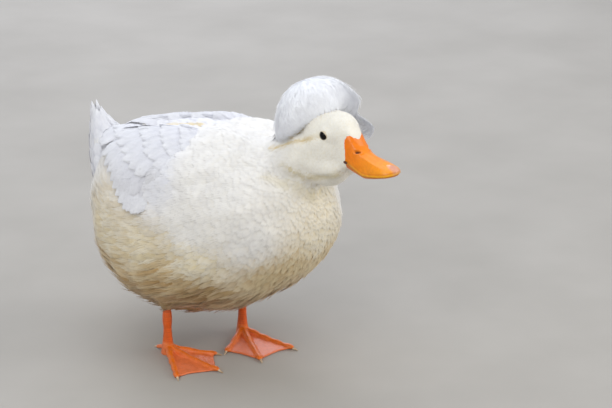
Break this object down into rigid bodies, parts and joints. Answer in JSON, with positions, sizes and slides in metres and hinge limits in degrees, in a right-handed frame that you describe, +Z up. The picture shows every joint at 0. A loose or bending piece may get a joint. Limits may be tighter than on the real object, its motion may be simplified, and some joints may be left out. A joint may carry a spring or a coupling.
{
  "type": "crested duck",
  "caption": "Life-size still model of a white domestic duck standing at ease, with a globe of crest feathers on its crown and an orange bill and webbed feet.",
  "frame": {"origin": "centre of the outline in plan, at the level of the soles", "axes": "+Z up, the bird faces -Y, its left side is +X"},
  "size_m": [0.2112, 0.4458, 0.3379],
  "materials": {
    "plumage": "soft white feathers",
    "bill": "waxy orange skin over horn",
    "leg": "scaled orange skin",
    "claw": "pale horn",
    "eye": "wet black"
  },
  "bodies": {
    "root": {"torso": "plumage", "neck": "plumage", "head": "plumage", "crest": "plumage", "bill_upper": "bill", "bill_lower": "bill", "eye_left": "eye", "eye_right": "eye", "tail": "plumage", "wing_left": "plumage", "wing_right": "plumage", "thigh_left": "plumage", "thigh_right": "plumage", "shank_left": "leg", "shank_right": "leg", "foot_left": "leg", "foot_right": "leg", "claw_left_inner": "claw", "claw_left_middle": "claw", "claw_left_outer": "claw", "claw_left_hind": "claw", "claw_right_inner": "claw", "claw_right_middle": "claw", "claw_right_outer": "claw", "claw_right_hind": "claw"}
  },
  "joints": []
}
